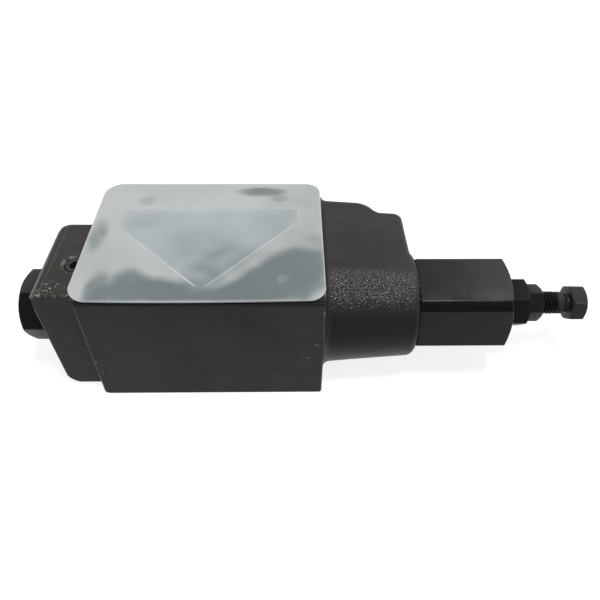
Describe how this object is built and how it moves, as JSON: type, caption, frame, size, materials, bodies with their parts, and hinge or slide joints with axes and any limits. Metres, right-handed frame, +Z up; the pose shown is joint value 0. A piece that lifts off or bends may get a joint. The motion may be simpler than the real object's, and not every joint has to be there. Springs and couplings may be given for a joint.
{
  "type": "hydraulic sandwich valve",
  "caption": "Sandwich-plate hydraulic pressure valve: cast block with a through port pattern, spring adjuster with lock nut on one end, hexagon plug on the other, loose cover plate on the top face.",
  "frame": {"origin": "centre of the bolt pattern on the bottom interface face", "axes": "+X along the spool towards the adjusting screw, +Y towards the casting's wing and away from the spool bore, +Z up out of the top interface face"},
  "size_m": [0.2352, 0.0733, 0.0567],
  "materials": {
    "painted_casting": "dark grey-brown paint over a sand-cast surface",
    "black_steel": "blackened machined steel, lightly oiled",
    "bright_steel": "ground steel",
    "spring_steel": "oil-tempered spring wire",
    "seal_rubber": "black nitrile rubber",
    "cover_plastic": "milky translucent polyethylene"
  },
  "bodies": {
    "valve": {"valve_body": "painted_casting", "port_cover": "cover_plastic", "face_seal_p": "seal_rubber", "face_seal_a": "seal_rubber", "face_seal_b": "seal_rubber", "face_seal_t": "seal_rubber", "face_seal_t1": "seal_rubber", "end_plug": "black_steel", "end_plug_seal": "seal_rubber", "pilot_port_plug": "black_steel", "sensing_piston": "bright_steel", "main_spring": "spring_steel", "spring_housing": "black_steel", "housing_seal": "seal_rubber", "gland_nut": "black_steel", "gland_seal": "seal_rubber"},
    "spool": {"main_spool": "bright_steel", "spring_guide": "bright_steel"},
    "plunger": {"adjuster_plunger": "bright_steel", "plunger_seal": "seal_rubber"},
    "screw": {"adjusting_screw": "black_steel"},
    "nut": {"lock_nut": "black_steel"}
  },
  "joints": [
    {"name": "spool_slide", "type": "slide", "parent": "valve", "child": "spool", "axis": [1, 0, 0], "range_m": [0, 0.003], "stiffness_N_per_m": 6000, "springref_m": -0.004, "deforming": ["main_spring"]},
    {"name": "plunger_slide", "type": "slide", "parent": "valve", "child": "plunger", "axis": [1, 0, 0], "range_m": [-0.01, 0.003], "deforming": ["main_spring"]},
    {"name": "screw_turn", "type": "hinge", "parent": "plunger", "child": "screw", "pos_m": [0.15175, -0.0085, 0.0275], "axis": [1, 0, 0], "range_deg": [-2400, 720]},
    {"name": "lock_nut_turn", "type": "hinge", "parent": "valve", "child": "nut", "pos_m": [0.1363, -0.0085, 0.0275], "axis": [1, 0, 0], "range_deg": [0, 360]}
  ],
  "couplings": [
    {"joint": "screw_turn", "follows": "plunger_slide", "rad_per_m": 4188.8}
  ]
}
